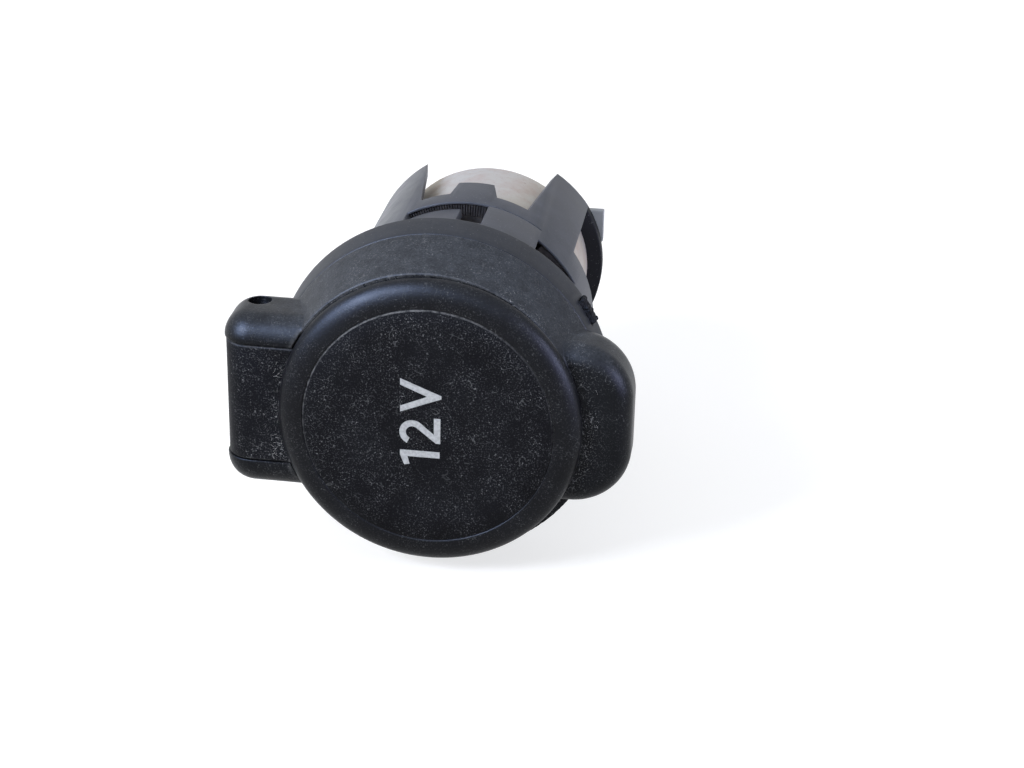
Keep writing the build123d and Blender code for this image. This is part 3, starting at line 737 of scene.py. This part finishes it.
def remoulded(node, name, voxel, rounds, keep, softer, more_rounds):
    """A copy of a node remeshed on a fine grid and smoothed, and smoothed more where softer says so."""
    made = to_object(merged_copy(node), name)
    grid = made.modifiers.new("grid", "REMESH")
    grid.mode = "VOXEL"
    grid.voxel_size = voxel
    soft = made.modifiers.new("soft", "SMOOTH")
    soft.factor = 0.5
    soft.iterations = rounds
    settle(made)
    group = made.vertex_groups.new(name="softer")
    for vertex in made.data.vertices:
        share = softer(vertex.co)
        if share > 0.0:
            group.add([vertex.index], share, "REPLACE")
    pillow = made.modifiers.new("pillow", "SMOOTH")
    pillow.factor = 0.5
    pillow.iterations = more_rounds
    pillow.vertex_group = group.name
    fewer = made.modifiers.new("fewer", "DECIMATE")
    fewer.ratio = keep
    weld = made.modifiers.new("weld", "WELD")
    weld.merge_threshold = WELD_REACH
    return settle(made)


def finish(made, body, nodes=(), material=None, edge=35.0):
    """Scales a piece to metres, smooths its shading, ties it to its body and hides the nodes that it takes
    the place of.
    """
    made.data.transform(Matrix.Scale(MM, 4))
    if material:
        made.data.materials.clear()
        made.data.materials.append(material)
    made.data.shade_smooth()
    made.data.set_sharp_from_angle(angle=math.radians(edge))
    made.data.update()
    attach(made, body)
    if nodes:
        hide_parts(*nodes)
    triangles = sum(len(p.vertices) - 2 for p in made.data.polygons)
    print(made.name, triangles, "triangles")
    return made


# %% [markdown]
# What repeats is made by Geometry Nodes, as an array is in any CAD program: one item, a count and a rule.
# The first tree sets copies of an item round the socket's axis, beside whatever mesh it is given, and the
# second sets them in a row.

# %% Geometry Nodes for what repeats
def new_tree(name, sockets):
    """A geometry tree with named inputs, given as a name and a socket type."""
    tree = bpy.data.node_groups.new(name, "GeometryNodeTree")
    tree.interface.new_socket("Geometry", in_out="INPUT", socket_type="NodeSocketGeometry")
    for label, kind in sockets:
        tree.interface.new_socket(label, in_out="INPUT", socket_type=kind)
    tree.interface.new_socket("Geometry", in_out="OUTPUT", socket_type="NodeSocketGeometry")
    return tree, add(tree, "NodeGroupInput").outputs


def grown(made, tree, values):
    """Runs a geometry tree on an object with its inputs set by name, and bakes the result."""
    step = made.modifiers.new(tree.name, "NODES")
    step.node_group = tree
    for item in tree.interface.items_tree:
        if item.in_out == "INPUT" and item.name in values:
            step[item.identifier] = values[item.name]
    return settle(made)


round_axis, given = new_tree(
    "copies_round_the_axis",
    [("Item", "NodeSocketObject"), ("Count", "NodeSocketInt"), ("Material", "NodeSocketMaterial")],
)
item = add(round_axis, "GeometryNodeObjectInfo", {"Object": given["Item"]})
spots = add(round_axis, "GeometryNodeMeshLine", {"Count": given["Count"], "Offset": (0.0, 0.0, 0.0)})
share = add(round_axis, MATH, {0: math.tau, 1: given["Count"]}, operation="DIVIDE")
angle = add(round_axis, MATH, {0: add(round_axis, "GeometryNodeInputIndex"), 1: share}, operation="MULTIPLY")
angle = add(round_axis, "ShaderNodeCombineXYZ", {1: angle})
copies = add(
    round_axis, "GeometryNodeInstanceOnPoints",
    {"Points": spots, "Instance": item.outputs["Geometry"], "Rotation": angle},
)
copies = add(round_axis, "GeometryNodeRealizeInstances", {0: copies})
joined = add(round_axis, "GeometryNodeJoinGeometry", {0: copies})
round_axis.links.new(given["Geometry"], joined.inputs[0])
coloured = add(round_axis, "GeometryNodeSetMaterial", {"Geometry": joined, "Material": given["Material"]})
add(round_axis, "NodeGroupOutput", {0: coloured})

in_row, given = new_tree(
    "copies_in_a_row",
    [
        ("Item", "NodeSocketObject"), ("Count", "NodeSocketInt"), ("Start", "NodeSocketVector"),
        ("Step", "NodeSocketVector"), ("Material", "NodeSocketMaterial"),
    ],
)
item = add(in_row, "GeometryNodeObjectInfo", {"Object": given["Item"]})
spots = add(
    in_row, "GeometryNodeMeshLine",
    {"Count": given["Count"], "Start Location": given["Start"], "Offset": given["Step"]},
)
copies = add(in_row, "GeometryNodeInstanceOnPoints", {"Points": spots, "Instance": item.outputs["Geometry"]})
copies = add(in_row, "GeometryNodeRealizeInstances", {0: copies})
coloured = add(in_row, "GeometryNodeSetMaterial", {"Geometry": copies, "Material": given["Material"]})
add(in_row, "NodeGroupOutput", {0: coloured})
print("geometry trees", [g.name for g in bpy.data.node_groups])

# %% [markdown]
# The lid is one moulding: a turned plate with a fat rounded rim and a fine ring line, a spigot behind it
# that carries the seal, and a leaf at the left that curls round the pin. The leaf's barrel is cut open for
# the spring, with a slot for the spring's leg.

# %% Lid
FACE_Y = -12.5
BACK_Y = -10.55
LID_RADIUS = 16.15
RIM_WIDTH = 2.65
RIM_HEIGHT = 1.7
RIM_STEPS = 28
BACK_ROUND = 0.22
BACK_STEPS = 6
RING_GROOVE = ((-0.12, 0.02), (0.0, 0.11), (0.04, 0.12), (0.08, 0.09), (0.1, 0.02), (0.13, 0.0))
SPIGOT = 9.8
LIP = 10.3
LIP_FRONT = -9.35
LIP_REAR = -8.85
CHAMFER = 0.1
HINGE = (-19.0, -5.1)
BARREL = 2.95
LEAF_CORNER = 2.75
LEAF_FRONT = -10.9
LEAF_REAR = -8.9
LEAF_END = -13.2
LEAF_HALF = 6.6
LEAF_ROUND = 0.16
CORNER_STEPS = 8
BARREL_STEPS = 16
ROD_SIDES = 40
COIL_ROOM = 2.32
COIL_HALF = 2.76
COIL_CUT_X = (-23.0, -15.0)
LEG_SLOT_X = (-17.88, -16.68)
LEG_SLOT_FRONT = -7.9
PIN_HOLE = 1.31

profile = [(0.0, FACE_Y), (6.0, FACE_Y), (11.0, FACE_Y), (RING_RADIUS - 0.15, FACE_Y)]
for away, deep in RING_GROOVE:
    profile.append((RING_RADIUS + away, FACE_Y + deep))
for step in range(RIM_STEPS + 1):
    lean = math.radians(90 * step / RIM_STEPS)
    radius = LID_RADIUS - RIM_WIDTH + RIM_WIDTH * math.sin(lean)
    profile.append((radius, FACE_Y + RIM_HEIGHT * (1 - math.cos(lean))))
for step in range(1, BACK_STEPS + 1):
    lean = math.radians(90 * step / BACK_STEPS)
    radius = LID_RADIUS - BACK_ROUND * (1 - math.cos(lean))
    profile.append((radius, BACK_Y - BACK_ROUND * (1 - math.sin(lean))))
profile += [
    (SPIGOT + CHAMFER, BACK_Y), (SPIGOT, BACK_Y + CHAMFER), (SPIGOT, LIP_FRONT), (LIP - CHAMFER, LIP_FRONT),
    (LIP, LIP_FRONT + CHAMFER), (LIP, LIP_REAR - CHAMFER), (LIP - CHAMFER, LIP_REAR), (0.0, LIP_REAR),
]
lid_middle = (LID_CENTRE[0] / MM, LID_CENTRE[2] / MM)
lid = to_object(turned(profile, 180, centre=lid_middle), "moulded_lid")


def along_pin(point, level):
    """A point of the hinge's side view, at a height along the pin."""
    return (*point, level)


left = HINGE[0] - BARREL
side = [(LEAF_END, LEAF_FRONT)]
for step in range(CORNER_STEPS + 1):
    lean = math.radians(90 * step / CORNER_STEPS)
    side.append(
        (left + LEAF_CORNER * (1 - math.sin(lean)), LEAF_FRONT + LEAF_CORNER * (1 - math.cos(lean)))
    )
for step in range(BARREL_STEPS + 1):
    lean = math.radians(180 - 180 * step / BARREL_STEPS)
    side.append((HINGE[0] + BARREL * math.cos(lean), HINGE[1] + BARREL * math.sin(lean)))
side += [(HINGE[0] + BARREL, LEAF_REAR), (LEAF_END, LEAF_REAR)]
leaf = to_object(drawn_out(side, -LEAF_HALF, LEAF_HALF, along_pin), "leaf")
rounded(leaf, LEAF_ROUND, 3, 50.0)


def rod(radius, half):
    """A rod along the hinge's pin."""
    turns = [math.tau * i / ROD_SIDES for i in range(ROD_SIDES)]
    circle = [(HINGE[0] + radius * math.cos(a), HINGE[1] + radius * math.sin(a)) for a in turns]
    return to_object(drawn_out(circle, -half, half, along_pin), "rod")


def block(x_range, y_range, z_range):
    """A block between limits on each axis."""
    left, right = x_range
    front, rear = y_range
    flat = [(left, front), (right, front), (right, rear), (left, rear)]
    return to_object(drawn_out(flat, *z_range, along_pin), "block")


combined(leaf, rod(COIL_ROOM, COIL_HALF), "DIFFERENCE")
combined(leaf, block(COIL_CUT_X, (HINGE[1], 0.0), (-COIL_HALF, COIL_HALF)), "DIFFERENCE")
combined(leaf, block(LEG_SLOT_X, (LEG_SLOT_FRONT, HINGE[1] + 0.1), (-COIL_HALF, 0.0)), "DIFFERENCE")
combined(leaf, rod(PIN_HOLE, LEAF_HALF + 1.0), "DIFFERENCE")
combined(lid, leaf, "UNION")

ON_FACE, ON_RIM, ON_LEAF = range(3)
lid.data.materials.clear()
for material in (lid_face_abs, lid_rim_abs, leaf_abs):
    lid.data.materials.append(material)
for polygon in lid.data.polygons:
    spot = polygon.center
    away = math.hypot(spot.x - lid_middle[0], spot.z - lid_middle[1])
    polygon.material_index = ON_RIM
    if away < RING_RADIUS and spot.y < FACE_Y + 0.3:
        polygon.material_index = ON_FACE
    elif spot.x < LEAF_END - 1.0 and spot.y > LEAF_FRONT - 0.05 and abs(spot.z) < LEAF_HALF + 0.1:
        polygon.material_index = ON_LEAF
finish(lid, "lid", ["lid"])

# %% [markdown]
# The marking is a generic rating. Its signs are drawn here with straight strokes and one bowl, as flat
# outlines in millimetres: the first number runs along the line of print, the second towards the top of a
# sign. Each is a film 0.03 mm thick that stands on the face. The line of print runs up the lid.

# %% Marking
BOWL = (-1.05, 1.2)
BOWL_OUTER = 1.39
BOWL_INNER = 0.7
BOWL_FROM = 155.0
BOWL_TO = -38.0
BOWL_STEPS = 20
INK_FILM = 0.03


def bowl(radius, start, end):
    """Points of an arc round the bowl's middle."""
    steps = [math.radians(start + (end - start) * i / BOWL_STEPS) for i in range(BOWL_STEPS + 1)]
    return [(BOWL[0] + radius * math.cos(a), BOWL[1] + radius * math.sin(a)) for a in steps]


def up_the_lid(point, level):
    """A point of a sign at a depth, with the line of print turned to run up the lid."""
    return (-point[1], level, point[0])


signs = {
    "one": [
        (-3.15, 2.52), (-3.15, -1.7), (-3.86, -1.7), (-3.86, 1.72),
        (-4.74, 1.5), (-4.86, 2.06), (-3.72, 2.52),
    ],
    "two": [
        *bowl(BOWL_OUTER, BOWL_FROM, BOWL_TO), (-1.16, -1.07), (0.72, -1.07), (0.72, -1.76), (-2.17, -1.76),
        (-2.17, -1.3), *bowl(BOWL_INNER, BOWL_TO, BOWL_FROM),
    ],
    "vee": [(1.25, 2.5), (1.92, 2.5), (3.16, -0.36), (4.34, 2.5), (5.06, 2.5), (3.34, -1.84), (3.0, -1.84)],
}
marking = bmesh.new()
for outline in signs.values():
    take_in(marking, drawn_out(outline, FACE_Y - INK_FILM, FACE_Y + INK_FILM, up_the_lid))
bmesh.ops.triangulate(marking, faces=marking.faces)
finish(to_object(marking, "printed_marking"), "lid", (), ink)

# %% [markdown]
# A few short threads of lint are caught in the corner between the leaf and the rim, and beside the ear. A
# tree scatters unit threads over a small bed, turns and scales each one by chance, and bends them with a
# noise.

# %% Lint
lint_tree, given = new_tree(
    "lint_on_a_bed",
    [
        ("Density", "NodeSocketFloat"), ("Length", "NodeSocketFloat"), ("Thickness", "NodeSocketFloat"),
        ("Curl", "NodeSocketFloat"), ("Seed", "NodeSocketInt"), ("Material", "NodeSocketMaterial"),
    ],
)
spots = add(
    lint_tree, "GeometryNodeDistributePointsOnFaces",
    {"Mesh": given["Geometry"], "Density": given["Density"], "Seed": given["Seed"]},
)
line = add(lint_tree, "GeometryNodeCurvePrimitiveLine", {"Start": (-0.5, 0.0, 0.0), "End": (0.5, 0.0, 0.0)})
line = add(lint_tree, "GeometryNodeResampleCurve", {"Curve": line, "Count": 12})
section = add(lint_tree, "GeometryNodeCurvePrimitiveCircle", {"Resolution": 5, "Radius": given["Thickness"]})
thread = add(
    lint_tree, "GeometryNodeCurveToMesh", {"Curve": line, "Profile Curve": section, "Fill Caps": True}
)
turn = add(
    lint_tree, RANDOM, {0: (-0.1, 0.0, -0.1), 1: (0.1, math.tau, 0.1), "Seed": given["Seed"]},
    data_type="FLOAT_VECTOR",
)
size = add(lint_tree, RANDOM, {2: 0.4, 3: 1.0, "Seed": given["Seed"]}, data_type="FLOAT")
size = add(lint_tree, MATH, {0: size.outputs[1], 1: given["Length"]}, operation="MULTIPLY")
threads = add(
    lint_tree, "GeometryNodeInstanceOnPoints",
    {"Points": spots, "Instance": thread, "Rotation": turn, "Scale": size},
)
threads = add(lint_tree, "GeometryNodeRealizeInstances", {0: threads})
here = add(lint_tree, "GeometryNodeInputPosition")
waver = add(lint_tree, NOISE, {"Vector": here, "Scale": 1.4, "Detail": 1.0}).outputs[1]
waver = add(lint_tree, VECTOR, {0: waver, 1: (0.5, 0.5, 0.5)}, operation="SUBTRACT")
waver = add(lint_tree, VECTOR, {0: waver, 1: (1.0, 0.2, 1.0)}, operation="MULTIPLY")
waver = add(lint_tree, VECTOR, {0: waver, "Scale": given["Curl"]}, operation="SCALE")
threads = add(lint_tree, "GeometryNodeSetPosition", {"Geometry": threads, "Offset": waver})
threads = add(lint_tree, "GeometryNodeSetMaterial", {"Geometry": threads, "Material": given["Material"]})
add(lint_tree, "NodeGroupOutput", {0: threads})

LINT_LENGTH = 0.6
LINT_THICKNESS = 0.022
LINT_CURL = 0.6
# Each bed's body, its limits across and upright, its depth, its threads per square millimetre and its seed.
LINT_BEDS = {
    "lint_on_leaf_top": ("lid", (-16.5, -15.5), (3.0, 5.4), LEAF_FRONT - 0.03, 3.0, 5),
    "lint_on_leaf_foot": ("lid", (-16.7, -15.5), (-6.2, -3.2), LEAF_FRONT - 0.03, 6.0, 8),
    "lint_on_ear": ("socket", (16.9, 18.0), (-3.0, 5.0), -10.13, 1.0, 3),
}
for name, (body, across, upright, depth, density, seed) in LINT_BEDS.items():
    bed = bmesh.new()
    corners = ((0, 0), (1, 0), (1, 1), (0, 1))
    bed.faces.new([bed.verts.new((across[i], depth, upright[k])) for i, k in corners])
    threads = grown(
        to_object(bed, name), lint_tree,
        {
            "Density": density, "Length": LINT_LENGTH, "Thickness": LINT_THICKNESS, "Curl": LINT_CURL,
            "Seed": seed, "Material": lint_cotton,
        },
    )
    finish(threads, body)

# %% [markdown]
# The flap frame, the flange behind its seam, the grey clip ring and the barrel make the housing, with the
# contacts and the connector behind. The knuckles' front edges are worn rounder than the rest of the frame.

# %% Frame, flange, clip ring, barrel and rear
# Each piece's node and name, how wide its edges are rounded in millimetres, its material and its slot.
HOUSING = [
    ("mounting_flange", "moulded_flange", 0.12, flange_nylon, "flange_plastic"),
    ("clip_ring", "moulded_clip_ring", 0.08, clip_nylon, "grey_plastic"),
    ("socket_shell", "drawn_shell", 0.12, zinc_steel, "plated_steel"),
    ("rear_plate", "moulded_rear_plate", 0.15, plate_nylon, "black_plastic"),
    ("terminal_base", "moulded_terminal_base", 0.12, base_nylon, "grey_plastic"),
    ("hinge_pin", "steel_hinge_pin", 0.2, wire_steel, "plated_steel"),
    ("front_insulator", "pressed_front_insulator", 0.12, laminate, "insulator_plastic"),
    ("centre_contact", "stamped_centre_contact", 0.12, brass, "contact_brass"),
    ("contact_rivet", "tubular_contact_rivet", 0.15, brass, "contact_brass"),
    ("rivet_washer", "rivet_washer_steel", 0.1, bright_steel, "plated_steel"),
    ("live_terminal", "stamped_live_terminal", 0.1, brass, "contact_brass"),
    ("earth_terminal", "stamped_earth_terminal", 0.1, bright_steel, "plated_steel"),
]
KNUCKLE_FRONT = -7.2
KNUCKLE_OUTER = 7.2
KNUCKLE_RIGHT = -14.6


def knuckle_front(spot):
    """How far a point lies on a knuckle's front edge, away from the pin's hole and the leaf's gap."""
    ahead = min(1.0, max(0.0, (KNUCKLE_FRONT - spot.y) / 1.2))
    outer = min(1.0, max(0.0, (abs(spot.z) - KNUCKLE_OUTER) / 0.8))
    left = min(1.0, max(0.0, (KNUCKLE_RIGHT - spot.x) / 1.4))
    return ahead * outer * left


moulded_frame = remoulded(
    "flap_frame", "moulded_flap_frame", voxel=0.1, rounds=1, keep=0.13, softer=knuckle_front, more_rounds=90
)
finish(moulded_frame, "socket", ["flap_frame"], frame_abs, 60.0)
for node, name, width, material, slot in HOUSING:
    finish(softened(node, name, width), "socket", [node], material)

# %% [markdown]
# The seal and the spring ride on the lid.

# %% Seal and spring
finish(softened("lid_seal", "rubber_lid_seal", 0.3), "lid", ["lid_seal"], pad_rubber)
finish(softened("lid_spring", "wire_lid_spring", 0.02), "lid", ["lid_spring"], wire_steel)

# %% [markdown]
# The anti-rattle ring shows in the clip ring's slots as a dark, finely ribbed wall. Its very dark brown is
# partly its own colour and partly painted shade of the deep slots. Its body is turned, with a shelf under
# each bridge of the clip ring, a dark sheet that stands for the shade in the gap there, and Geometry Nodes
# sets the ribs round its front. Shelves and ribs are sunk a little into the body, so that no gap shows.

# %% Anti-rattle ring
RIBS = 290
RIB_HEIGHT = 0.3
BAND_FRONT = 15.75
BAND_STEP = 17.35
BAND_REAR = 18.35
BAND_BORE = 12.0
RIB_FOOT = 12.76
BAND_RADIUS = 14.06
TAIL_RADIUS = 13.06
SHELF_FRONT = 12.75
SHADE_FILLING_SHELVES = ((31.0, 51.0), (-51.0, -31.0))
SUNK = 0.05

band_skin = turned(
    [
        (BAND_BORE, BAND_FRONT), (RIB_FOOT, BAND_FRONT), (RIB_FOOT, BAND_FRONT + RIB_HEIGHT),
        (BAND_RADIUS, BAND_FRONT + RIB_HEIGHT), (BAND_RADIUS, BAND_STEP), (TAIL_RADIUS, BAND_STEP),
        (TAIL_RADIUS, BAND_REAR), (BAND_BORE, BAND_REAR),
    ],
    closed=True,
)
# Each shelf is a dark sheet that stands for the shade under a bridge.
shade_filling_shelf = [
    (BAND_BORE, SHELF_FRONT), (BAND_RADIUS, SHELF_FRONT),
    (BAND_RADIUS, BAND_STEP - SUNK), (BAND_BORE, BAND_STEP - SUNK),
]
for span in SHADE_FILLING_SHELVES:
    take_in(band_skin, turned(shade_filling_shelf, 16, span, closed=True))
band = to_object(band_skin, "ribbed_band")


def across_band(point, level):
    """A point of a rib seen along the axis, at a depth."""
    return (point[0], level, point[1])


rib_half = math.pi * BAND_RADIUS / RIBS / 2
rib_side = [
    (RIB_FOOT - SUNK, -rib_half), (BAND_RADIUS, -rib_half),
    (BAND_RADIUS, rib_half), (RIB_FOOT - SUNK, rib_half),
]
rib = to_object(drawn_out(rib_side, BAND_FRONT, BAND_FRONT + RIB_HEIGHT + SUNK, across_band), "one_rib")
grown(band, round_axis, {"Item": rib, "Count": RIBS, "Material": band_nylon_and_slot_shade})
discard(rib)
finish(band, "socket", ["anti_rattle_ring"])

# %% [markdown]
# The pads let into the flange's rear edge are cut from soft black rubber and are torn and crumbly. One pad is
# roughened by a noise, and Geometry Nodes sets the pair half a turn apart.

# %% Rim pads
PAD_ROUND = 0.25
PAD_VOXEL = 0.08
TEAR_SIZE = 0.55
TEAR_LAYERS = 2
TEAR_DEPTH = 0.75
TEAR_LEVEL = 0.52

pad_skin = merged_copy("rim_pads")
far_side = [v for v in pad_skin.verts if v.co.x < 0.0]
bmesh.ops.delete(pad_skin, geom=far_side, context="VERTS")
pad = to_object(pad_skin, "one_pad")
rounded(pad, PAD_ROUND)
cells = pad.modifiers.new("cells", "REMESH")
cells.mode = "VOXEL"
cells.voxel_size = PAD_VOXEL
lumps = bpy.data.textures.new("torn_rubber", "CLOUDS")
lumps.noise_scale = TEAR_SIZE
lumps.noise_depth = TEAR_LAYERS
tear = pad.modifiers.new("tear", "DISPLACE")
tear.texture = lumps
tear.strength = TEAR_DEPTH
tear.mid_level = TEAR_LEVEL
settle(pad)
pads = to_object(bmesh.new(), "rubber_rim_pads")
grown(pads, round_axis, {"Item": pad, "Count": 2, "Material": pad_rubber})
discard(pad)
finish(pads, "socket", ["rim_pads"])

# %% [markdown]
# The two rivets that hold the earth terminal have round heads on both sides of the shell's floor.

# %% Earth rivets
RIVET_HEAD = 1.5
RIVET_SHANK = 0.9
HEAD_FRONT = 33.4
HEAD_REAR = 34.0
TAIL_FRONT = 36.1
TAIL_REAR = 36.7
DOME = ((0.0, 0.0), (0.8, 0.04), (1.25, 0.18), (RIVET_HEAD, 0.42))
RIVET_FIRST = (-7.2, 0.0, -1.8)
RIVET_STEP = (0.0, 0.0, 3.6)

rivet_profile = [
    *[(radius, HEAD_FRONT + fall) for radius, fall in DOME],
    (RIVET_HEAD, HEAD_REAR), (RIVET_SHANK, HEAD_REAR), (RIVET_SHANK, TAIL_FRONT), (RIVET_HEAD, TAIL_FRONT),
    *[(radius, TAIL_REAR - fall) for radius, fall in reversed(DOME)],
]
rivet = to_object(turned(rivet_profile, 32), "one_rivet")
rivets = to_object(bmesh.new(), "headed_earth_rivets")
grown(
    rivets, in_row,
    {"Item": rivet, "Count": 2, "Start": RIVET_FIRST, "Step": RIVET_STEP, "Material": bright_steel},
)
discard(rivet)
finish(rivets, "socket", ["earth_rivets"])
